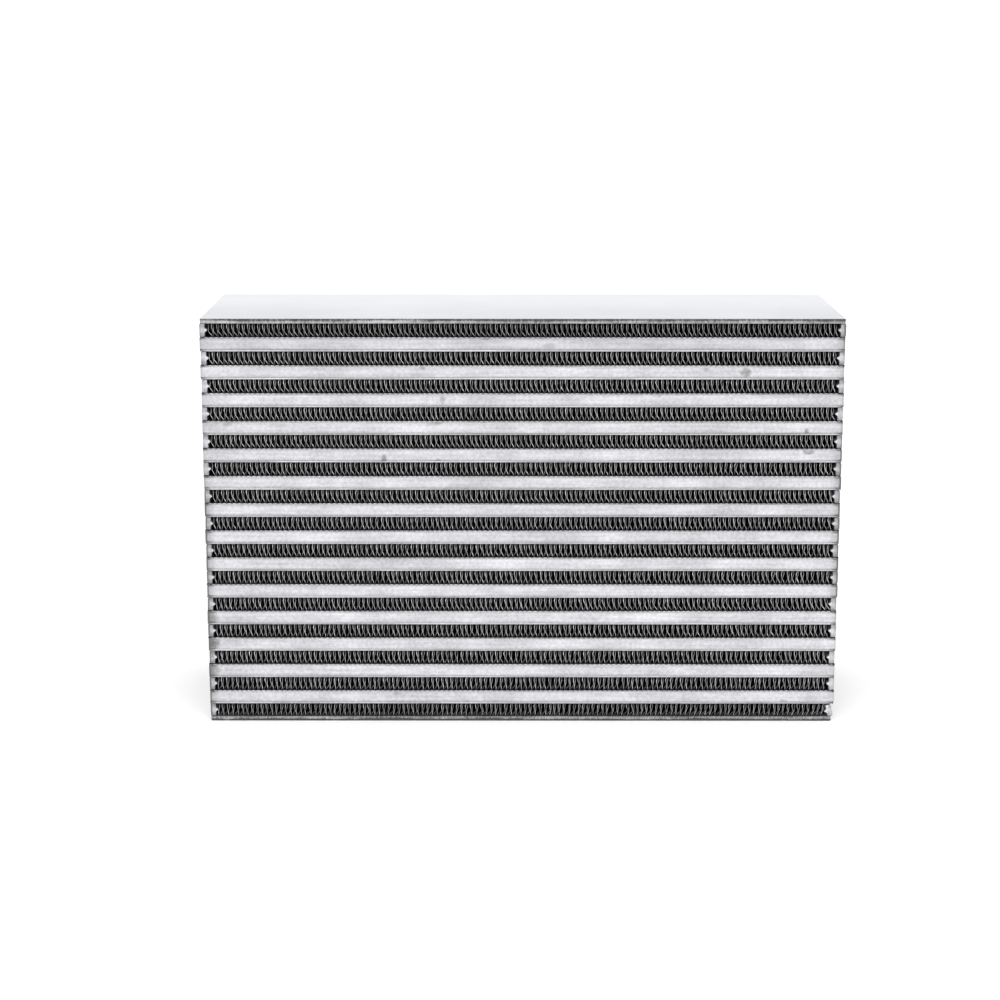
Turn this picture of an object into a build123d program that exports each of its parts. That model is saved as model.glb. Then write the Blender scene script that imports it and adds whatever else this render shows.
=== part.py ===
from build123d import *

import os

# Core of an air-to-air intercooler, brazed up from bars, plates and folded fins.
# The frame: X runs left to right along the charge-air tubes, Y runs front to back the way
# the cooling air goes, Z is up. The origin is the middle of the underside.
# Layers alternate from the bottom plate up: cooling-air fins, tube, fins, tube ... fins, top plate.

# ---- driving sizes, in millimetres ----
core_width = 457.0  # over the tube ends
core_depth = 140.0  # front face to back face
tube_count = 14  # tubes; there is one more layer of cooling-air fins than there are tubes
air_gap = 9.8  # height of a layer of cooling-air fins, and of its end bars
tube_gap = 8.2  # height inside a tube, and of its long bars
sheet_thickness = 1.0  # each tube has one parting sheet below it and one above
plate_thickness = 3.4  # top and bottom plates

# ---- bar sections ----
end_bar_width = 3.8  # closes a fin layer on the left and right
long_bar_width = 6.0  # closes a tube at the front and back
nose_reach = 1.8  # ridge along the inner side of each bar
nose_base = 3.2  # height of that ridge where it leaves the bar
edge_break = 0.6  # bevel on the two outer edges of each bar

# ---- cooling-air fins: folds run front to back ----
fin_waves = 30
fin_thickness = 0.4  # measured square to a fold's wall
fin_setback = 1.5  # front and back faces of the core to the fins' cut edges
fin_end_gap = 0.4  # last fold to the end bar's nose

# ---- turbulators: folds run left to right, inside the tubes ----
turbulator_waves = 9
turbulator_thickness = 0.4
turbulator_setback = 3.0  # tube mouth to the folds' cut edges
turbulator_side_gap = 0.4  # last fold to the long bar's nose

# ---- worked out from those ----
layer_pitch = air_gap + tube_gap + 2 * sheet_thickness
core_height = 2 * plate_thickness + air_gap + tube_count * layer_pitch
half_width = core_width / 2
half_depth = core_depth / 2
fin_half_span = half_width - end_bar_width - nose_reach - fin_end_gap
turbulator_half_span = half_depth - long_bar_width - nose_reach - turbulator_side_gap

PARTS = "parts"


def air_floor(layer):
    """Height of the underside of a fin layer, counted from 0 at the bottom."""
    return plate_thickness + layer * layer_pitch


def tube_floor(tube):
    """Height of the inside of a tube, on top of its lower parting sheet."""
    return air_floor(tube) + air_gap + sheet_thickness


def run_along_x(section, length):
    """Solid of a (y, z) section, centred on X."""
    face = make_face(Plane.YZ * Polyline(*section, close=True))
    return Pos(-length / 2, 0, 0) * extrude(face, length, dir=(1, 0, 0))


def run_along_y(section, length):
    """Solid of an (x, z) section, centred on Y."""
    face = make_face(Plane.XZ * Polyline(*section, close=True))
    return Pos(0, -length / 2, 0) * extrude(face, length, dir=(0, 1, 0))


def flat_piece(thickness, floor):
    """Plate or sheet over the whole core, lying on the height floor."""
    standing = (Align.CENTER, Align.CENTER, Align.MIN)
    return Pos(0, 0, floor) * Box(core_width, core_depth, thickness, align=standing)


def bar_section(outer, inward, width, height, floor):
    """Bar closing a layer: bevelled outside, with a pointed ridge along the middle of its inner side.

    outer is the place of its outer face, and inward is the way to the middle of the core, 1 or -1.
    """
    middle = height / 2
    outline = [
        (0, edge_break),
        (edge_break, 0),
        (width, 0),
        (width, middle - nose_base / 2),
        (width + nose_reach, middle),
        (width, middle + nose_base / 2),
        (width, height),
        (edge_break, height),
        (0, height - edge_break),
    ]
    return [(outer + inward * across, floor + up) for across, up in outline]


def fold_section(half_span, waves, height, thickness, floor):
    """Section of a sheet folded in a zigzag that touches the layers below and above with its crests."""
    half_fold = half_span / waves
    # The section's upper line is its lower line moved up by one drop. Seen square to a wall, that
    # drop is the sheet's thickness, and the wall climbs what the drop leaves of the height.
    reach = (height**2 + half_fold**2 - thickness**2) ** 0.5
    drop = thickness * (half_fold * reach - thickness * height) / (half_fold**2 - thickness**2)
    rise = height - drop
    crests = [(-half_span + i * half_fold, floor + (i % 2) * rise) for i in range(2 * waves + 1)]
    return crests + [(across, up + drop) for across, up in reversed(crests)]


def end_bars():
    """All short bars, one at the left and one at the right of every fin layer."""
    bars = []
    for layer in range(tube_count + 1):
        for side in (-1, 1):
            section = bar_section(side * half_width, -side, end_bar_width, air_gap, air_floor(layer))
            bars.append(run_along_y(section, core_depth))
    return bars


def long_bars(tube):
    """Front and back bars of one tube."""
    bars = []
    for side in (-1, 1):
        section = bar_section(side * half_depth, -side, long_bar_width, tube_gap, tube_floor(tube))
        bars.append(run_along_x(section, core_width))
    return bars


def tube_sheets(tube):
    """Lower and upper parting sheets of one tube."""
    inside = tube_floor(tube)
    return [
        flat_piece(sheet_thickness, inside - sheet_thickness),
        flat_piece(sheet_thickness, inside + tube_gap),
    ]


def air_fins(layer):
    """One layer of cooling-air fins, open at the front and the back."""
    section = fold_section(fin_half_span, fin_waves, air_gap, fin_thickness, air_floor(layer))
    return run_along_y(section, core_depth - 2 * fin_setback)


def turbulator(tube):
    """The folded sheet inside one tube, open at the left and right ends."""
    section = fold_section(
        turbulator_half_span, turbulator_waves, tube_gap, turbulator_thickness, tube_floor(tube)
    )
    return run_along_x(section, core_width - 2 * turbulator_setback)


def save(node, *solids):
    """Write one node: a single piece, or a set of like pieces."""
    shape = solids[0] if len(solids) == 1 else Compound(list(solids))
    export_step(shape, f"{PARTS}/{node}.step")


os.makedirs(PARTS, exist_ok=True)
save("bottom_plate", flat_piece(plate_thickness, 0))
save("top_plate", flat_piece(plate_thickness, core_height - plate_thickness))
save("end_bars", *end_bars())
for layer in range(tube_count + 1):
    save(f"air_fins_{layer + 1:02d}", air_fins(layer))
for tube in range(tube_count):
    save(f"tube_sheets_{tube + 1:02d}", *tube_sheets(tube))
    save(f"long_bars_{tube + 1:02d}", *long_bars(tube))
    save(f"turbulator_{tube + 1:02d}", turbulator(tube))
print("core", core_width, "x", core_depth, "x", round(core_height, 3), "mm")
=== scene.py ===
# %% [markdown]
# This file dresses the core of an intercooler: a brazed aluminium sandwich of plates, bars and
# folded sheets. The solids from the CAD model are the frame. They give every size and place, so
# this script reads them first and measures everything else from them.

# %% Load the frame
import math
import random

import bmesh
import bpy
from mathutils import Matrix, Vector


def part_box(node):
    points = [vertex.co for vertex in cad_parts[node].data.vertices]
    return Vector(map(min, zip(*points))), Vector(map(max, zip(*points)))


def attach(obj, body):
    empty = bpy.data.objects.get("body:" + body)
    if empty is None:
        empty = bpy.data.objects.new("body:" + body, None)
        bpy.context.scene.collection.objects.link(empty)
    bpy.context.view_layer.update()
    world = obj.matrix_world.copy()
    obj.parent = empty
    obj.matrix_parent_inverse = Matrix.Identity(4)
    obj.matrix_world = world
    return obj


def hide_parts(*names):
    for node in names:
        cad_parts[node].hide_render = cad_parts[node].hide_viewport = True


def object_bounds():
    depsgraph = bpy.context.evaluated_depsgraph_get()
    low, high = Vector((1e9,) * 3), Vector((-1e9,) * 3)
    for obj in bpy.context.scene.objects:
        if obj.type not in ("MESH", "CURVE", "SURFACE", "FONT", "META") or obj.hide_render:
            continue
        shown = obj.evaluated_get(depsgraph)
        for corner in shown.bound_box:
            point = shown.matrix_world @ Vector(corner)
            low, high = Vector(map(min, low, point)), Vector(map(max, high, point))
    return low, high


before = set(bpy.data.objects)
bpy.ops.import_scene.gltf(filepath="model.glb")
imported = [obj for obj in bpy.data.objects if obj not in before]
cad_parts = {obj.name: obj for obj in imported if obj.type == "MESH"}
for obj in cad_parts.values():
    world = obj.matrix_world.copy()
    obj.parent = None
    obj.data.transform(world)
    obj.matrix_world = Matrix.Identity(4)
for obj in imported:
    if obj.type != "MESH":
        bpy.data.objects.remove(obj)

cad_box = [list(corner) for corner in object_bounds()]
MM = 0.001
BODY = "root"
LAYERS = sorted(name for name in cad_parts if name.startswith("air_fins_"))
TUBES = sorted(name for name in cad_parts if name.startswith("turbulator_"))

_, high = cad_box
HALF_WIDTH = high[0]
HALF_DEPTH = high[1]
TOP = high[2]
fin_low, fin_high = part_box(LAYERS[0])
next_low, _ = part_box(LAYERS[1])
bar_low, bar_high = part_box("long_bars_01")
_, mouth_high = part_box(TUBES[0])
AIR_GAP = fin_high[2] - fin_low[2]
TUBE_GAP = bar_high[2] - bar_low[2]
PITCH = next_low[2] - fin_low[2]
SHEET = (PITCH - AIR_GAP - TUBE_GAP) / 2
PLATE = fin_low[2]
print("core", [round(2 * v / MM) for v in (HALF_WIDTH, HALF_DEPTH)], "mm, height", round(TOP / MM, 1))
print("layers", len(LAYERS), "tubes", len(TUBES), "pitch", round(PITCH / MM, 2), "mm")

# %% [markdown]
# Modelling here goes as it would by hand: add a primitive, go into edit mode, select some of it by
# its place, and use an operator on the selection. These few helpers keep those steps short. The
# frame's solids are still selected after loading, so each piece starts by deselecting everything.


# %% Small helpers for modelling
def begin(add, **settings):
    """Add a primitive with nothing else selected, and go into edit mode."""
    bpy.ops.object.select_all(action="DESELECT")
    add(**settings)
    bpy.ops.object.mode_set(mode="EDIT")
    return bpy.context.object


def pick(piece, faces=None, edges=None, points=None):
    """In edit mode, select only the faces, edges or points that pass a test."""
    mode = "FACE" if faces else "EDGE" if edges else "VERT"
    bpy.ops.mesh.select_mode(type=mode)
    bpy.ops.mesh.select_all(action="DESELECT")
    shape = bmesh.from_edit_mesh(piece.data)
    parts = {"FACE": shape.faces, "EDGE": shape.edges, "VERT": shape.verts}[mode]
    test = faces or edges or points
    for part in parts:
        if test(part):
            part.select_set(True)
    shape.select_flush_mode()
    bmesh.update_edit_mesh(piece.data)


def done(piece, name, smooth=None):
    """Leave edit mode, name the piece and, if an angle is given, shade it smooth up to that angle."""
    bpy.ops.object.mode_set(mode="OBJECT")
    piece.name = name
    piece.data.name = name
    if smooth is not None:
        bpy.ops.object.shade_smooth_by_angle(angle=math.radians(smooth))
    return piece


def copy_of(piece, name, place=None):
    """A copy with its own mesh, moved within the mesh so that the object stays at the origin."""
    twin = piece.copy()
    twin.data = piece.data.copy()
    twin.name = name
    twin.data.name = name
    if place is not None:
        twin.data.transform(place)
    bpy.context.collection.objects.link(twin)
    return twin


def apply(piece, kind, **settings):
    """Add one modifier and apply it at once."""
    bpy.ops.object.select_all(action="DESELECT")
    piece.select_set(True)
    bpy.context.view_layer.objects.active = piece
    modifier = piece.modifiers.new(kind.title(), kind)
    for key, value in settings.items():
        setattr(modifier, key, value)
    bpy.ops.object.modifier_apply(modifier=modifier.name)


def join(pieces, name):
    """Join finished shapes into one piece."""
    bpy.ops.object.select_all(action="DESELECT")
    for piece in pieces:
        piece.select_set(True)
    bpy.context.view_layer.objects.active = pieces[0]
    bpy.ops.object.join()
    pieces[0].name = name
    pieces[0].data.name = name
    return pieces[0]


def finish_piece(piece, nodes, skin=None):
    """Give a piece its material, and let it stand for its solids on the one body."""
    if skin:
        piece.data.materials.append(skin)
    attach(piece, BODY)
    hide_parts(*nodes)


# %% [markdown]
# Materials are sums of patterns. Writing each Math node by hand is long and hard to read, so this
# class wraps a socket and lets Python's own operators add the nodes: `1 - mask * 0.5` is two Math
# nodes. Numbers go through Math nodes, and colours through Mix nodes, because a Math node would
# turn a colour grey.


# %% Shader arithmetic
class Shade:
    """One socket of a material. Arithmetic on it adds the nodes that work it out."""

    def __init__(self, tree, socket):
        self.tree = tree
        self.socket = socket

    def node(self, kind, settings=None, inputs=None, output=0):
        """Any node: its type, its settings, then the values or links of its sockets."""
        made = self.tree.nodes.new("ShaderNode" + kind)
        for key, value in (settings or {}).items():
            setattr(made, key, value)
        for key, value in (inputs or {}).items():
            feed(self.tree, made.inputs[key], value)
        return Shade(self.tree, made.outputs[output])

    def math(self, operation, *others):
        return self.node("Math", {"operation": operation}, dict(enumerate((self, *others))))

    def __add__(self, other):
        return self.math("ADD", other)

    def __sub__(self, other):
        return self.math("SUBTRACT", other)

    def __mul__(self, other):
        return self.math("MULTIPLY", other)

    __radd__ = __add__
    __rmul__ = __mul__

    def __rsub__(self, other):
        return (self * -1) + other

    def __abs__(self):
        return self.math("ABSOLUTE")

    def __lt__(self, other):
        return self.math("LESS_THAN", other)

    def limit(self):
        """The value held between 0 and 1."""
        return self.math("MAXIMUM", 0.0).math("MINIMUM", 1.0)

    def rise(self, start, end):
        """0 below start, 1 above end, and a straight line between."""
        return self.node(
            "MapRange",
            {"clamp": True},
            {"Value": self, "From Min": start, "From Max": end, "To Min": 0.0, "To Max": 1.0},
        )

    def blend(self, dark, light):
        """The colour between two others, with this value as the share of the second."""
        return self.node("Mix", {"data_type": "RGBA"}, {0: self, 6: dark, 7: light}, output=2)


def feed(tree, socket, value):
    """Link a shade to a socket, or set the socket to a plain value."""
    if isinstance(value, Shade):
        tree.links.new(value.socket, socket)
    else:
        socket.default_value = value


class Finish:
    """A material being built: its patterns, and the shader that they feed."""

    def __init__(self, name):
        self.material = bpy.data.materials.new(name)
        self.material.use_nodes = True
        tree = self.material.node_tree
        self.shader = tree.nodes["Principled BSDF"]
        self.tree = tree
        place = tree.nodes.new("ShaderNodeTexCoord")
        self.place = Shade(tree, place.outputs["Object"])
        split = tree.nodes.new("ShaderNodeSeparateXYZ")
        tree.links.new(place.outputs["Object"], split.inputs[0])
        self.x, self.y, self.z = (Shade(tree, split.outputs[i]) for i in range(3))

    def stretched(self, x, y, z):
        """Object coordinates times a scale for each axis, for patterns drawn out along one axis."""
        return self.place.node("Mapping", None, {"Vector": self.place, "Scale": (x, y, z)})

    def attribute(self, name):
        """A number that the mesh carries at its points, mixed evenly between them."""
        return self.place.node("Attribute", {"attribute_name": name}, output=2)

    def noise(self, scale, detail=3.0, roughness=0.55, vector=None):
        """Cloudy pattern. The scale is in patches per metre."""
        sockets = {"Vector": vector or self.place, "Scale": scale}
        sockets.update({"Detail": detail, "Roughness": roughness})
        return self.place.node("TexNoise", None, sockets)

    def spot(self, x, z, width, height):
        """1 in the middle of an oval on the front, 0 at its rim and beyond."""
        across = (self.x - x) * (1 / width)
        up = (self.z - z) * (1 / height)
        return (1 - (across * across + up * up)).limit()

    def set(self, **sockets):
        """Set or link the shader's sockets; an underscore in a name stands for a space."""
        for key, value in sockets.items():
            feed(self.tree, self.shader.inputs[key.replace("_", " ")], value)

    def bump(self, height, strength, distance):
        """Let a pattern push the surface's normals about."""
        sockets = {"Height": height, "Strength": strength, "Distance": distance}
        self.set(Normal=height.node("Bump", None, sockets))


def grey(level, tint=(1.0, 1.0, 1.0)):
    """A grey with a slight tint, as a colour."""
    return tuple(level * part for part in tint) + (1.0,)


COOL = (0.985, 0.995, 1.035)  # tint of the plates, the sheets and the walls of the fins
BAR_TINT = (1.003, 0.995, 1.042)  # tint of the bars, with a little more red in it
SATIN = 0.7  # how metallic the brazed skins are: dulled by the furnace, but still metal

# %% [markdown]
# The plates are rolled sheet, about 3.4 mm thick, and pale after brazing: the furnace leaves a dull
# satin skin with faint clouds in it. Their sheared edges are greyer than the faces, and darkest in
# a band next to the bare face. Height alone tells the shader which part of the edge it is on.


# %% Finish: the pale plates
def plate_finish():
    finish = Finish("brazed plate")
    clouds = finish.noise(14.0, 4.0)
    fine = finish.noise(420.0, 2.0)
    rolled = finish.noise(1.0, 3.0, vector=finish.stretched(40.0, 900.0, 900.0))
    tone = (clouds.rise(0.35, 0.7) * 0.6 + rolled * 0.25 + fine * 0.15).limit()
    face = tone.blend(grey(0.86, COOL), grey(0.96, COOL))
    # On the sheared edge the depth below the bare face decides: a dark band, then a grey cut zone.
    edge_depth = (TOP - finish.z).math("MINIMUM", finish.z)
    runs = finish.noise(1.0, 3.0, vector=finish.stretched(30.0, 30.0, 260.0)).rise(0.35, 0.65)
    cut = finish.noise(1.0, 2.0, vector=finish.stretched(700.0, 700.0, 300.0)).rise(0.3, 0.7)
    dark_band = 1 - (edge_depth + runs * 0.7 * MM).rise(1.6 * MM, 2.3 * MM)
    # The bottom plate's edge is darker than the top plate's.
    lower = 1 - finish.z.rise(PLATE, 2 * PLATE)
    bright = runs * 0.45 + cut * 0.55 + 0.16 - dark_band * 0.58 - lower * 0.22
    side = bright.limit().blend(grey(0.07), grey(0.5, COOL))
    on_edge = edge_depth.rise(0.02 * MM, 0.14 * MM)
    finish.set(Base_Color=on_edge.blend(face, side), Roughness=0.38 + tone * 0.14, Metallic=SATIN)
    finish.bump(fine * 0.4 + clouds, 0.12, 0.0006)
    return finish.material


# %% [markdown]
# The bars are extruded, so they carry fine lines along their length. Where a bar meets a sheet the
# braze has left a thin darker seam, and painted shade darkens the face softly towards it. Handling
# has left smudges here and there. Each smudge is an oval whose rim a noise eats away.


# %% Finish: the extruded bars
MARKS = [
    # smudges: x and height of the middle, half width and half height in millimetres, and strength
    (-26.0, 282.2, 6.0, 0.9, 0.5),
    (18.7, 277.1, 6.5, 3.2, 0.28),
    (-71.0, 261.5, 3.6, 2.2, 0.45),
    (158.4, 258.6, 5.6, 5.2, 0.65),
    (129.6, 260.3, 3.6, 2.2, 0.35),
    (-56.6, 238.5, 2.8, 5.6, 0.35),
    (97.7, 242.0, 2.8, 2.2, 0.35),
    (-210.0, 221.0, 4.8, 2.6, 0.45),
    (-62.9, 221.5, 8.5, 2.2, 0.35),
    (202.6, 215.7, 2.4, 3.2, 0.6),
    (204.3, 200.6, 6.5, 2.6, 0.65),
    (-98.8, 196.1, 3.0, 5.0, 0.65),
    (-59.9, 194.5, 3.6, 2.2, 0.4),
    (138.2, 154.2, 3.0, 1.8, 0.65),
    (-90.2, 154.1, 4.2, 1.5, 0.6),
    (129.9, 113.9, 5.0, 1.0, 0.5),
    (-225.0, 38.3, 8.0, 6.0, 0.45),
    (-225.0, 58.3, 9.0, 6.0, 0.7),
    (-225.0, 78.3, 7.0, 6.0, 0.45),
    (-91.0, 20.6, 6.0, 2.0, 0.4),
    (191.6, 15.4, 4.5, 2.2, 0.4),
]


def bar_finish(name, floor, height, dull, clear, patch, highlight_strength=0.0, marks=()):
    """Skin of the bars of one kind; floor and height are those of the lowest, the rest a pitch apart.

    dull and clear are the greys that the patches change between, and patch how many patches there
    are to a metre. highlight_strength is the painted highlight on the noses and front-end middles.
    """
    finish = Finish(name)
    drawn = finish.noise(1.0, 3.0, vector=finish.stretched(16.0, 500.0, 500.0))
    clouds = finish.noise(patch, 4.0)
    fine = finish.noise(420.0, 2.0)
    tone = clouds.rise(0.3, 0.7) * 0.4 + drawn.rise(0.3, 0.7) * 0.28 + fine.rise(0.25, 0.75) * 0.35
    from_side = HALF_WIDTH - abs(finish.x)
    at_front = HALF_DEPTH - abs(finish.y) < 1.6 * MM
    # The height above the lower joint repeats with every layer.
    above = (finish.z - floor).math("FLOORED_MODULO", PITCH)
    from_joint = above.math("MINIMUM", abs(height - above))
    # Painted highlight: the noses and a band along the middle of each front end are painted brighter.
    painted_highlight_zone = from_side.rise(4.0 * MM, 4.8 * MM) + from_joint.rise(2.4 * MM, 4.2 * MM) * 0.5
    tip = painted_highlight_zone * at_front * highlight_strength
    clean = (tone + tip).limit().blend(grey(dull, BAR_TINT), grey(clear, BAR_TINT))
    near_end = 1 - from_side.rise(1.0 * MM, 6.0 * MM)
    grit = finish.noise(700.0, 2.0).rise(0.35, 0.65)
    # Painted shade: the face darkens softly towards each joint, made uneven by the grit.
    shade = (1 - from_joint.rise(0.0, 1.8 * MM)) * (0.14 + grit * 0.28)
    stained = clouds.rise(0.4, 0.65) * 0.15 + near_end * 0.6
    seam = (1 - from_joint.rise(0.2 * MM, 1.0 * MM)) * stained
    # The ends are darker on the lower bars at the left end, and at the right end on the middle bars
    # and the topmost ones.
    left = finish.x < 0.0
    low = 1 - finish.z.rise(0.52 * TOP, 0.66 * TOP)
    halfway = 1 - abs(finish.z - TOP / 2).rise(0.14 * TOP, 0.28 * TOP)
    topmost = finish.z.rise(TOP - 1.8 * PITCH, TOP - 0.6 * PITCH)
    dark_ends = left * low + (1 - left) * (halfway * 0.9 + topmost * 0.7)
    seam = seam + (1 - from_joint.rise(0.4 * MM, 2.0 * MM)) * near_end * dark_ends * 0.4
    patchy = 0.4 + clouds * 0.7 + grit * 0.4
    # Painted shade: a wide fade towards each end of a bar, strongest where the ends are darker.
    fade = (1 - from_side.rise(0.5 * MM, 8.0 * MM)) * (0.08 + dark_ends * 0.42) * patchy
    line = (1 - from_side.rise(1.0 * MM, 2.1 * MM)) * (0.15 + dark_ends * 0.6)
    corner = (fade + line) * at_front
    # The upper bars are a little darker than the rest, and the topmost the most.
    upper = finish.z.rise(0.3 * TOP, 0.5 * TOP) * 0.06
    highest = finish.z.rise(TOP - 1.25 * PITCH, TOP - 1.2 * PITCH) * 0.11
    dark = (shade + seam + corner + (upper + highest)).limit()
    smear = finish.noise(240.0, 4.0, 0.7).rise(0.3, 0.7)
    for x, z, wide, tall, strength in marks:
        spot = finish.spot(x * MM, z * MM, wide * MM, tall * MM)
        dark = dark + (spot * 1.5 - smear).limit() * strength
    colour = dark.limit().blend(clean, grey(0.16))
    finish.set(Base_Color=colour, Roughness=0.42 + clouds * 0.2, Metallic=SATIN)
    finish.bump(drawn * 0.5 + fine * 0.5, 0.18, 0.0004)
    return finish.material


# %% [markdown]
# A parting sheet shows only its sheared edge, a line about a millimetre high. Along that line the
# molten braze has filled some stretches and left others open, so it changes from bright to grey.


# %% Finish: the parting sheets
FIN_WAVE = 3.6 * MM  # width of one wave of the folded sheets


def sheet_finish():
    finish = Finish("clad sheet")
    runs = finish.noise(1.0, 3.0, vector=finish.stretched(18.0, 60.0, 45.0))
    beads = finish.noise(1.0, 2.0, vector=finish.stretched(420.0, 300.0, 300.0))
    # The sheets are paler towards the top of the core.
    paler_top = finish.z.rise(0.7 * TOP, 0.95 * TOP)
    tone = (runs.rise(0.38, 0.62) * 0.6 + beads.rise(0.3, 0.7) * 0.4 + paler_top * 0.2).limit()
    corner = (1 - (HALF_WIDTH - abs(finish.x)).rise(0.8 * MM, 6.0 * MM)) * 0.7
    # The faces towards the fins lie half a layer of fins away from the middle of that layer; painted
    # shade makes them nearly black. Below the fins the top of the edge is darker, in scallops along the
    # folds.
    teeth = (finish.x * (2 * math.pi / FIN_WAVE) + runs * 12.0).math("SINE")
    below = (finish.z - PLATE).math("FLOORED_MODULO", PITCH)
    from_middle = (finish.z - PLATE - AIR_GAP / 2).math("PINGPONG", PITCH / 2)
    inner = 1 - abs(from_middle - AIR_GAP / 2).rise(0.03 * MM, 0.12 * MM)
    under_fin_dark = (below + teeth * 0.22 * MM).rise(PITCH - 0.55 * MM, PITCH - 0.25 * MM) * 0.8
    dark = (corner + inner + under_fin_dark).limit()
    colour = dark.blend(tone.blend(grey(0.3), grey(0.66, COOL)), grey(0.015))
    finish.set(Base_Color=colour, Roughness=0.42 + beads * 0.2, Metallic=SATIN)
    finish.bump(beads, 0.3, 0.0004)
    return finish.material


# %% [markdown]
# The folded sheets are only a few tenths of a millimetre thick. Their cut edges are bright in the
# first row, with painted glints here and there and painted light on some strokes of each fold. The
# walls are painted nearly black as shade, and the rows further in are painted dark as shade too.


# %% Finish: the folded sheets
def depth_behind(finish, along):
    """How far a point lies behind the nearer open face.

    along is the axis that the passages run along: 0 for X, from side to side, and 1 for Y.
    """
    return (HALF_WIDTH - abs(finish.x)) if along == 0 else (HALF_DEPTH - abs(finish.y))


def fin_finish(name, along):
    """Walls of a folded sheet, painted nearly black as shade, with paler patches near the open face."""
    finish = Finish(name)
    depth = depth_behind(finish, along)
    stain = finish.noise(160.0, 3.0)
    pale_patches = finish.noise(75.0, 2.0).rise(0.56, 0.66) * (1 - depth.rise(3.0 * MM, 9.0 * MM))
    # Painted shade: the walls are nearly black, a touch paler near the open face.
    tone = ((1 - depth.rise(1.5 * MM, 5.0 * MM)) * 0.05 + stain * 0.05 + pale_patches * 0.5).limit()
    finish.set(Base_Color=tone.blend(grey(0.003), grey(0.14, COOL)), Roughness=0.45 + stain * 0.2)
    finish.set(Specular_IOR_Level=0.06)
    finish.bump(stain, 0.15, 0.0003)
    return finish.material


def cut_finish(name, along, floor, height):
    """Cut edges of a folded sheet.

    floor and height are those of the lowest layer, and the rest are a pitch apart.
    """
    finish = Finish(name)
    depth = depth_behind(finish, along)
    share = (finish.z - floor).math("FLOORED_MODULO", PITCH) * (1 / height)
    # Painted shade: the rows behind the first are darkened nearly to black.
    second = depth.rise(2.0 * MM, 6.0 * MM) * (0.98 - share.rise(0.4, 0.6) * 0.09)
    nicks = finish.noise(280.0, 2.0).rise(0.36, 0.66)
    # Painted highlights: glints here and there on the cut edges.
    glints = finish.noise(330.0, 1.0).rise(0.62, 0.7)
    # Painted shade darkens the cut edges of the two outer layers more than the rest.
    outer = abs(finish.z - TOP / 2).rise(TOP / 2 - PITCH, TOP / 2 - 0.9 * PITCH)
    brightness_with_glints = 0.32 + nicks * 0.56 + glints * 0.3
    # Painted light: some strokes of each fold are painted brighter than others.
    tone = finish.attribute("painted_light") * brightness_with_glints * (1 - second) * (1 - outer * 0.28)
    finish.set(Base_Color=tone.limit().blend(grey(0.005), grey(0.95)), Roughness=0.5)
    finish.set(Specular_IOR_Level=0.2)
    return finish.material


FIRST_TUBE = PLATE + AIR_GAP + SHEET  # height of the inside of the lowest tube
plate_skin = plate_finish()
long_bar_skin = bar_finish("long bar", FIRST_TUBE, TUBE_GAP, 0.36, 0.80, 34.0, marks=MARKS)
end_bar_skin = bar_finish("end bar", PLATE, AIR_GAP, 0.12, 0.66, 110.0, highlight_strength=0.6)
sheet_skin = sheet_finish()
air_fin_skin = fin_finish("air fin wall", 1)
air_cut_skin = cut_finish("air fin cut edge", 1, PLATE, AIR_GAP)
turbulator_skin = fin_finish("turbulator wall", 0)
turbulator_cut_skin = cut_finish("turbulator cut edge", 0, FIRST_TUBE, TUBE_GAP)
print("finishes", len(bpy.data.materials))

# %% [markdown]
# The plates are the simplest pieces: a slab with its edges just broken, as a shear and a furnace
# leave them. A cube is added at the slab's size, and its corners and the rim of its bare face are
# bevelled in edit mode. The rim that is brazed to the core stays sharp. The plates are cut a little
# smaller than the core, so their edges lie less than a millimetre inside it. The bottom plate has
# had the knocks of standing on a bench: its ends are worn round, and its right end is short.

# %% Plates
PLATE_INSET = 0.7 * MM  # at the left and right ends
PLATE_SETBACK = 0.28 * MM  # at the front and back
CORNER_ROUND = 0.8 * MM
EDGE_ROUND = 0.25 * MM
CUT_END = 0.4 * MM  # rounding of an end as it was sheared
WORN_END = 1.4 * MM  # and of an end that is worn


def plate(name, floor, outside, end_round, short):
    """A plate on the height floor. outside is 1 if its bare face is the upper one, and -1 if the lower.

    end_round rounds the bare face's left and right ends, and short takes a little off the right end.
    """
    piece = begin(bpy.ops.mesh.primitive_cube_add, size=1.0, location=(0, 0, 0))
    size = (2 * (HALF_WIDTH - PLATE_INSET), 2 * (HALF_DEPTH - PLATE_SETBACK), PLATE)
    bpy.ops.transform.resize(value=size)
    middle = floor + PLATE / 2
    bpy.ops.transform.translate(value=(0, 0, middle))
    pick(piece, points=lambda point: point.co.x > 0)
    bpy.ops.transform.translate(value=(-short, 0, 0))
    pick(
        piece,
        edges=lambda edge: all((v.co.z - middle) * outside > 0 for v in edge.verts)
        and abs(edge.verts[0].co.y - edge.verts[1].co.y) > HALF_DEPTH,
    )
    bpy.ops.mesh.bevel(offset=end_round, segments=4)
    pick(piece, edges=lambda edge: abs(edge.verts[0].co.z - edge.verts[1].co.z) > PLATE / 2)
    bpy.ops.mesh.bevel(offset=CORNER_ROUND, segments=3)
    at_face = PLATE * 0.49
    pick(piece, edges=lambda edge: all((v.co.z - middle) * outside > at_face for v in edge.verts))
    bpy.ops.mesh.bevel(offset=EDGE_ROUND, segments=3)
    # Where two bevels meet, a point can stand a hair proud of the face, so those are pressed flat.
    pick(piece, points=lambda point: (point.co.z - middle) * outside > PLATE / 2)
    bpy.ops.transform.resize(value=(1, 1, 0), center_override=(0, 0, middle + outside * PLATE / 2))
    return done(piece, name, smooth=40)


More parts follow.
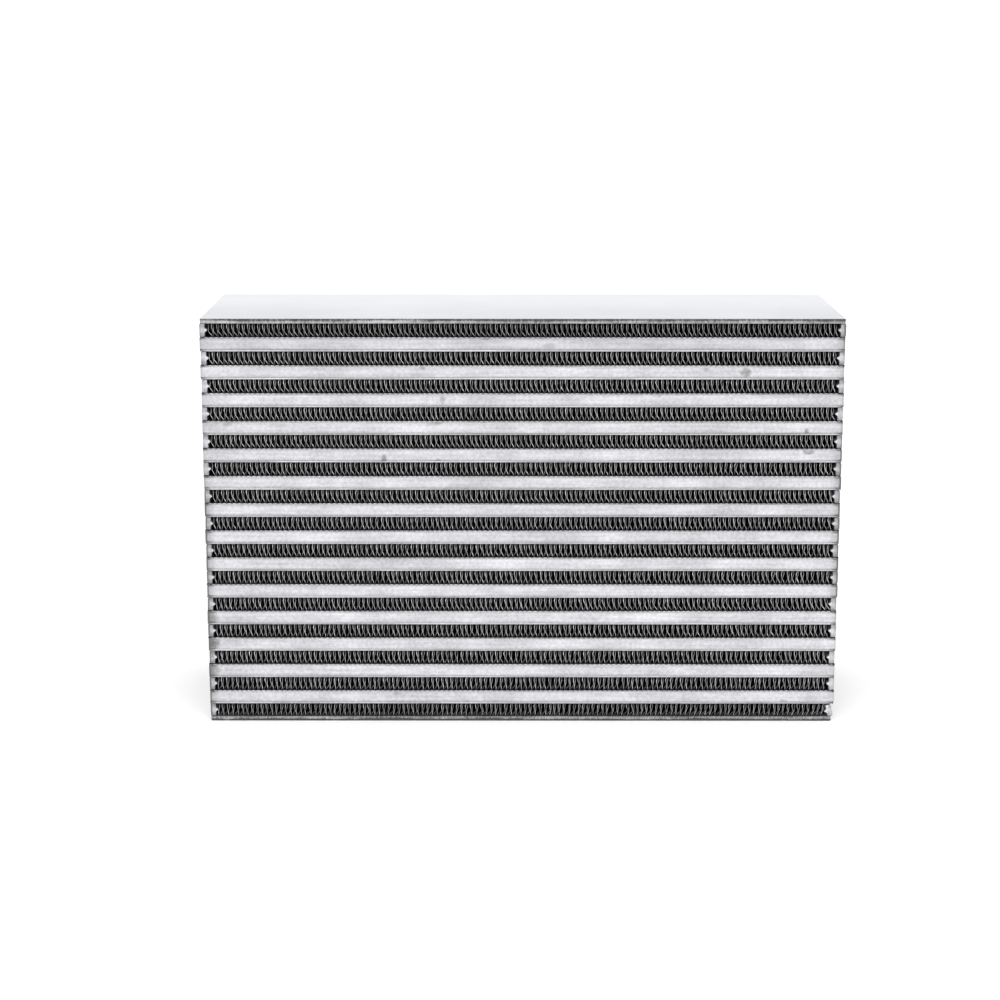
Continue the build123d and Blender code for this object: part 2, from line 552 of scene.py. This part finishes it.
top_plate = plate("top_plate_skin", TOP - PLATE, 1, CUT_END, 0.0)
bottom_plate = plate("bottom_plate_skin", 0.0, -1, WORN_END, WORN_END)
finish_piece(top_plate, ["top_plate"], plate_skin)
finish_piece(bottom_plate, ["bottom_plate"], plate_skin)
print("plates", len(top_plate.data.polygons), "and", len(bottom_plate.data.polygons), "faces")

# %% [markdown]
# Every bar has the same kind of section: square at the joints, rounded a little on the outside, and
# with a pointed nose along the middle of its inner side, which keeps the folded sheet off the bar.
# One bar is modelled along X with its outside towards -Y, and copies are turned and placed.


# %% Bars
NOSE = 1.8 * MM
NOSE_BASE = 3.2 * MM
NOSE_TIP = 0.16  # height of the nose at its tip, as a share of its height at the bar
BROKEN_EDGE = 0.45 * MM  # bevel round the sawn ends of a bar
NEARLY = 0.01 * MM  # how close two places are to count as the same


def bar(length, width, height, cuts, roundness):
    """A bar along X. Its outside is at y = 0, it grows to +y, and its underside is at z = 0.

    cuts divides its length, so that it can be bent, and roundness rounds its outside edges.
    """
    piece = begin(bpy.ops.mesh.primitive_cube_add, size=1.0, location=(0, 0, 0))
    bpy.ops.transform.resize(value=(length, width, height))
    bpy.ops.transform.translate(value=(0, width / 2, height / 2))
    pick(piece, edges=lambda edge: abs(edge.verts[0].co.x - edge.verts[1].co.x) > length / 2)
    bpy.ops.mesh.subdivide(number_cuts=cuts)
    for side in (-1, 1):
        bpy.ops.mesh.select_all(action="SELECT")
        bpy.ops.mesh.bisect(plane_co=(0, 0, (height + side * NOSE_BASE) / 2), plane_no=(0, 0, 1))
    inner = width - NEARLY
    pick(
        piece,
        faces=lambda face: all(v.co.y > inner for v in face.verts)
        and abs(face.calc_center_median().z - height / 2) < NOSE_BASE / 2,
    )
    bpy.ops.mesh.extrude_region_move(TRANSFORM_OT_translate={"value": (0, NOSE, 0)})
    bpy.ops.transform.resize(value=(1, 1, NOSE_TIP), center_override=(0, width + NOSE, height / 2))
    pick(
        piece,
        edges=lambda edge: all(v.co.y < NEARLY for v in edge.verts)
        and all(abs(v.co.z - height / 2) > height * 0.49 for v in edge.verts),
    )
    bpy.ops.mesh.bevel(offset=roundness, segments=4)
    pick(piece, edges=lambda edge: all(abs(abs(v.co.x) - length / 2) < NEARLY for v in edge.verts))
    bpy.ops.mesh.bevel(offset=BROKEN_EDGE, segments=2)
    return piece


END_WIDTH = 3.8 * MM
LONG_WIDTH = 6.0 * MM
BAR_SETBACK = 0.5 * MM  # of a long bar's outside from the front or the back
LONG_LENGTH = 2 * (HALF_WIDTH - 0.3 * MM)
LONG_ROUND = 0.6 * MM
END_LENGTH = 2 * (HALF_DEPTH - 0.6 * MM)
END_ROUND = 1.3 * MM
BAR_SMOOTH = 35  # degrees

long_bar = bar(LONG_LENGTH, LONG_WIDTH, TUBE_GAP, 40, LONG_ROUND)
long_master = done(long_bar, "long_bar_pattern", BAR_SMOOTH)
end_bar = bar(END_LENGTH, END_WIDTH, AIR_GAP, 8, END_ROUND)
end_master = done(end_bar, "end_bar_pattern", BAR_SMOOTH)

# A slow wander of a few tenths of a millimetre, in and out along each long bar.
drift = bpy.data.textures.new("drift", "CLOUDS")
drift.noise_scale = 0.09
drift.noise_depth = 1


def tube_floor(tube):
    """Height of the inside of a tube, counted from 0 at the bottom."""
    return PLATE + tube * PITCH + AIR_GAP + SHEET


dice = random.Random(14)
for tube in range(len(TUBES)):
    pair = []
    for turn in (0.0, math.pi):
        setback = BAR_SETBACK + dice.uniform(-0.15, 0.15) * MM
        slide = dice.uniform(-0.3, 0.3) * MM
        place = (
            Matrix.Translation((slide, 0, tube_floor(tube)))
            @ Matrix.Rotation(turn, 4, "Z")
            @ Matrix.Translation((0, setback - HALF_DEPTH, 0))
        )
        pair.append(copy_of(long_master, "bar", place))
    piece = join(pair, f"long_bars_{tube + 1:02d}_drawn")
    apply(piece, "DISPLACE", texture=drift, texture_coords="LOCAL", direction="Y", strength=0.4 * MM)
    finish_piece(piece, [f"long_bars_{tube + 1:02d}"], long_bar_skin)
print("long bars", 2 * len(TUBES))

# %% [markdown]
# The end bars are shorter and thinner. They were laid in by hand before brazing, so each sits a
# little in or out, and the lowest one on the right has tipped over a little.

# %% End bars
TIPPED = (0, 1)  # layer and side of the bar that has tipped
dice = random.Random(30)
ends = []
for layer in range(len(LAYERS)):
    for side in (-1, 1):
        out = dice.uniform(0.15, 0.8) * MM
        tip = math.radians(dice.uniform(-1.2, 1.2))
        shrink = 0.985  # leaves room for the bar to tip between its sheets
        if layer == len(LAYERS) - 1:
            out = 0.15 * MM
        if (layer, side) == TIPPED:
            out = 1.5 * MM
            tip = math.radians(-13.0)
            shrink = 0.9
        place = (
            Matrix.Translation((side * (HALF_WIDTH - out), 0, PLATE + layer * PITCH + AIR_GAP / 2))
            @ Matrix.Rotation(tip, 4, "Y")
            @ Matrix.Rotation(side * math.pi / 2, 4, "Z")
            @ Matrix.Scale(shrink, 4, (0, 0, 1))
            @ Matrix.Translation((0, 0, -AIR_GAP / 2))
        )
        ends.append(copy_of(end_master, "end", place))
end_bars = join(ends, "end_bars_drawn")
finish_piece(end_bars, ["end_bars"], end_bar_skin)
for pattern in (long_master, end_master):
    bpy.data.objects.remove(pattern)
print("end bars", len(ends))

# %% [markdown]
# A parting sheet is flat and as large as the core, and its front edge wanders in and out by a few
# tenths of a millimetre. A slab is cut into many short lengths along X, its edges are rounded where
# braze has run over them, and a cloud texture pushes the lengths about.

# %% Parting sheets
SHEET_SIZE = (2 * HALF_WIDTH - 0.8 * MM, 2 * HALF_DEPTH - 1.1 * MM, SHEET)


def sheet():
    """A parting sheet with its underside at z = 0."""
    piece = begin(bpy.ops.mesh.primitive_cube_add, size=1.0, location=(0, 0, 0))
    bpy.ops.transform.resize(value=SHEET_SIZE)
    bpy.ops.transform.translate(value=(0, 0, SHEET / 2))
    pick(piece, edges=lambda edge: abs(edge.verts[0].co.x - edge.verts[1].co.x) > HALF_WIDTH)
    bpy.ops.mesh.subdivide(number_cuts=90)
    pick(
        piece,
        edges=lambda edge: abs(edge.verts[0].co.x - edge.verts[1].co.x) > 0.1 * MM
        and abs(edge.verts[0].co.y) > HALF_DEPTH / 2,
    )
    bpy.ops.mesh.bevel(offset=0.18 * MM, segments=2)
    return done(piece, "sheet_pattern", 50)


ripple = bpy.data.textures.new("ripple", "CLOUDS")
ripple.noise_scale = 0.03
ripple.noise_depth = 2

sheet_master = sheet()
dice = random.Random(28)
for tube in range(len(TUBES)):
    pair = []
    for floor in (tube_floor(tube) - SHEET, tube_floor(tube) + TUBE_GAP):
        aside = dice.uniform(-0.2, 0.2) * MM
        back = dice.uniform(-0.2, 0.2) * MM
        pair.append(copy_of(sheet_master, "sheet", Matrix.Translation((aside, back, floor))))
    piece = join(pair, f"tube_sheets_{tube + 1:02d}_clad")
    apply(piece, "DISPLACE", texture=ripple, texture_coords="LOCAL", direction="Y", strength=0.7 * MM)
    finish_piece(piece, [f"tube_sheets_{tube + 1:02d}"], sheet_skin)
bpy.data.objects.remove(sheet_master)
print("parting sheets", 2 * len(TUBES))

# %% [markdown]
# The folded sheets are what catches the eye. A real one is a thin strip pushed through toothed
# rolls, which fold it every couple of millimetres and slit it across every few millimetres of
# depth, so that each slit row of folds stands a little aside of the one before. Here a flat grid is
# folded by lifting its columns of points, ten columns to a wave, and that row of folds is copied
# back through the depth, each time shifted sideways. The folds are pinched in pairs below their
# middle, and their feet spread again, as the rolls and the squeezed stack leave them. Each point
# carries two numbers: "painted_light" says how much painted light the cut edge has there, and
# "looser" how far the folds may be crumpled, which is more at the right end than at the left.

# %% Folded sheets
FOLD = [
    # the points of one wave: along the row in waves, up in heights of the fold, the share that each
    # has in the lean, and how much painted light brightens the cut edge there
    (-0.12, 1.00, 0.0, 0.15),
    (-0.04, 0.78, 0.0, 0.30),
    (-0.18, 0.38, 0.1, 0.62),
    (0.03, 0.16, 0.6, 0.85),
    (0.15, 0.00, 1.0, 0.05),
    (0.35, 0.00, 1.0, 0.00),
    (0.47, 0.16, 0.6, 0.22),
    (0.68, 0.38, 0.1, 0.28),
    (0.54, 0.78, 0.0, 1.00),
    (0.62, 1.00, 0.0, 0.40),
]
PLAIN_FOLD = [
    # upright walls with square folds, for the row that nobody sees
    (0.0, 1.0, 0.0, 0.0),
    (0.0, 0.0, 0.0, 0.0),
    (0.5, 0.0, 0.0, 0.0),
    (0.5, 1.0, 0.0, 0.0),
]
ASIDE = (0.0, 0.18, 0.1, 0.18, 0.0)  # how far each row is shifted, from front to back, in waves
FIN_SHEET = 0.36 * MM
SLACK = 0.6  # room left beside a row of folds, in waves
SLITS = (5 * MM, 6 * MM)  # depths of the slit rows at an open face, the outer one first


def fold_row(fold, waves, wave, height, lean):
    """One slit row: a grid one metre and one cell deep, with its columns lifted into folds.

    lean is how far the feet of the folds stand aside, in waves, at the left and the right end.
    The row begins and ends with a wall that goes down, so it has half a wave more than its count.
    """
    points = len(fold)
    cells = waves * points + points // 2 - 1
    piece = begin(bpy.ops.mesh.primitive_grid_add, x_subdivisions=cells, y_subdivisions=1, size=1.0)
    width = cells * wave / points
    bpy.ops.transform.resize(value=(width, 1.0, 1.0))
    piece.vertex_groups.new(name="looser")
    shape = bmesh.from_edit_mesh(piece.data)
    shape.verts.ensure_lookup_table()
    column = [round((v.co.x + width / 2) / wave * points) for v in shape.verts]
    painted_light = shape.verts.layers.float.new("painted_light")
    groups = shape.verts.layers.deform.verify()
    for point in shape.verts:
        point[painted_light] = fold[column[point.index] % points][3]
        point[groups][0] = 0.5 + 0.5 * column[point.index] / cells
    middle = (width - waves * wave) / 2
    left, right = lean
    for phase, (along, up, share, _) in enumerate(fold):
        pick(piece, points=lambda point: column[point.index] % points == phase)
        aside = along - phase / points + share * (left + right) / 2
        bpy.ops.transform.translate(value=(aside * wave + middle, 0, up * height))
        # Stretching the feet about the middle makes the lean change evenly along the row.
        stretch = 1 + share * (right - left) / waves
        bpy.ops.transform.resize(value=(stretch, 1, 1), center_override=(0, 0, 0))
    return done(piece, "row")


def folded_sheet(name, waves, width, height, depth, slits, lean):
    """A whole folded sheet round the origin: rows of folds from front to back.

    slits are the depths of the rows at one face. The back face has the same, and the middle is one
    plain row, because nobody can see that far in.
    """
    rows = list(slits) + [depth - 2 * sum(slits)] + list(reversed(slits))
    wave = width / (waves + SLACK)
    outer = fold_row(FOLD, waves, wave, height, lean)
    inner = fold_row(PLAIN_FOLD, waves, wave, height, (0.0, 0.0))
    made = []
    front = -depth / 2
    for index, row in enumerate(rows):
        shift = Matrix.Translation((ASIDE[index] * wave, front + row / 2, 0))
        place = shift @ Matrix.Scale(row, 4, (0, 1, 0))
        made.append(copy_of(inner if index == len(slits) else outer, "row", place))
        front += row
    for pattern in (outer, inner):
        bpy.data.objects.remove(pattern)
    return join(made, name)


def thicken(piece, wall, cut):
    """Give a folded surface its thickness. The rim that this adds gets the cut edge's material."""
    piece.data.materials.append(wall)
    piece.data.materials.append(cut)
    settings = {"thickness": FIN_SHEET, "offset": 0.0, "use_even_offset": True}
    apply(piece, "SOLIDIFY", material_offset_rim=1, **settings)


# Two textures push the folds sideways: one bends several neighbours together, and the other
# crumples each by itself.
bend = bpy.data.textures.new("bend", "CLOUDS")
bend.noise_scale = 0.011
bend.noise_depth = 1
crumple = bpy.data.textures.new("crumple", "CLOUDS")
crumple.noise_scale = 0.0035
crumple.noise_depth = 1

fin_width = 2 * fin_high[0]
fin_depth = 2 * fin_high[1]
fin_waves = round(fin_width / FIN_WAVE)
dice = random.Random(15)
for layer, node in enumerate(LAYERS):
    height_share = layer / (len(LAYERS) - 1)
    # At the left end the feet stand to the left in the lower layers and to the right in the upper
    # ones. At the right end they stand nearly upright, but to the left in the lowest two layers.
    lean_left = -0.4 + 0.95 * height_share + dice.uniform(-0.1, 0.1)
    lean_right = 0.12 - 0.8 * max(0.0, 1 - layer / 2) + dice.uniform(-0.15, 0.15)
    lean = (lean_left, lean_right)
    height = AIR_GAP - FIN_SHEET
    piece = folded_sheet(node + "_folded", fin_waves, fin_width, height, fin_depth, SLITS, lean)
    piece.data.transform(Matrix.Translation((0, 0, PLATE + layer * PITCH + FIN_SHEET / 2)))
    # The lower layers are the more unruly ones.
    sideways = {"texture_coords": "LOCAL", "direction": "X"}
    swing = (2.4 - 1.4 * height_share) * MM
    apply(piece, "DISPLACE", texture=bend, strength=swing, **sideways)
    swing = (1.9 - 0.5 * height_share) * MM
    apply(piece, "DISPLACE", texture=crumple, strength=swing, vertex_group="looser", **sideways)
    thicken(piece, air_fin_skin, air_cut_skin)
    finish_piece(piece, [node])
print("air fins: waves", fin_waves, "faces each", len(piece.data.polygons))

# %% [markdown]
# The turbulators are the same kind of sheet turned a quarter round, so that their passages run from
# one tank to the other. They show only at the tube mouths.

# %% Turbulators
turb_width = 2 * mouth_high[1]
turb_depth = 2 * mouth_high[0]
turb_waves = round(turb_width / FIN_WAVE)
turb_height = TUBE_GAP - FIN_SHEET
turb_lean = (0.3, 0.1)
turb_master = folded_sheet("turb", turb_waves, turb_width, turb_height, turb_depth, SLITS, turb_lean)
quarter = Matrix.Rotation(math.pi / 2, 4, "Z")
for tube, node in enumerate(TUBES):
    floor = tube_floor(tube) + FIN_SHEET / 2
    piece = copy_of(turb_master, node + "_folded", Matrix.Translation((0, 0, floor)) @ quarter)
    apply(piece, "DISPLACE", texture=bend, texture_coords="LOCAL", direction="Y", strength=2.4 * MM)
    thicken(piece, turbulator_skin, turbulator_cut_skin)
    finish_piece(piece, [node])
bpy.data.objects.remove(turb_master)
print("turbulators: waves", turb_waves, "faces each", len(piece.data.polygons))

# %% [markdown]
# The stage is a wide pale floor under an even white sky. One soft sun, above and in front, lets the
# round edges of the bars read. The rim of the floor turns up far away, and the floor glows a little,
# so that neither a horizon nor a hard shadow draws the eye.

# %% Stage, light and camera
FLOOR_RADIUS = 17.0
COVE = [
    # how far the rim of the floor goes out and up at each step, in metres
    (1.4, 0.15),
    (1.1, 0.5),
    (0.7, 1.0),
    (0.3, 1.8),
]


def stage_floor():
    """A round floor whose rim turns up all round, so that no horizon shows from any side."""
    radius = FLOOR_RADIUS
    piece = begin(bpy.ops.mesh.primitive_circle_add, vertices=96, radius=radius, fill_type="NGON")
    for out, up in COVE:
        pick(piece, edges=lambda edge: edge.is_boundary)
        bpy.ops.mesh.extrude_edges_move(TRANSFORM_OT_translate={"value": (0, 0, up)})
        grown = (radius + out) / radius
        bpy.ops.transform.resize(value=(grown, grown, 1.0))
        radius += out
    piece = done(piece, "floor", smooth=60)
    finish = Finish("pale floor")
    far = (finish.x * finish.x + finish.y * finish.y).math("SQRT").rise(8.0, FLOOR_RADIUS)
    glow = far.blend(grey(0.16), grey(0.36))
    finish.set(Base_Color=grey(0.95), Roughness=0.9, Emission_Color=glow, Emission_Strength=1.0)
    piece.data.materials.append(finish.material)


def soft_sun(name, elevation, azimuth, spread, strength):
    """A soft sun. Azimuth 0 comes from the front, and 90 from the right; all angles in degrees."""
    lamp = bpy.data.lights.new(name, "SUN")
    lamp.angle = math.radians(spread)
    lamp.energy = strength
    holder = bpy.data.objects.new(name, lamp)
    holder.rotation_euler = (math.radians(90 - elevation), 0, math.radians(azimuth))
    bpy.context.collection.objects.link(holder)


stage_floor()
soft_sun("overhead", elevation=42, azimuth=0, spread=60, strength=1.64)

world = bpy.data.worlds.new("studio")
world.use_nodes = True
sky = world.node_tree.nodes["Background"]
sky.inputs["Color"].default_value = (1.0, 1.0, 1.0, 1.0)
sky.inputs["Strength"].default_value = 0.75
bpy.context.scene.world = world
bpy.context.scene.view_settings.view_transform = "Standard"

CAMERA_PLACE = (-0.0130, -1.6230, 0.5073)
CAMERA_DOWN = 12.40  # degrees below level
CAMERA_TURN = 0.11  # degrees to the left
FOCAL_PIXELS = 2217.0  # focal length in pixels of an image 1000 wide
SENSOR = 36.0
camera = bpy.data.cameras.new("camera")
camera.sensor_width = SENSOR
camera.lens = FOCAL_PIXELS / 1000 * SENSOR
camera.clip_end = 200.0
eye = bpy.data.objects.new("camera", camera)
eye.location = CAMERA_PLACE
eye.rotation_euler = (math.radians(90 - CAMERA_DOWN), 0, math.radians(CAMERA_TURN))
bpy.context.collection.objects.link(eye)
bpy.context.scene.camera = eye

# %% Print the sizes and finish
print("cad", cad_box)
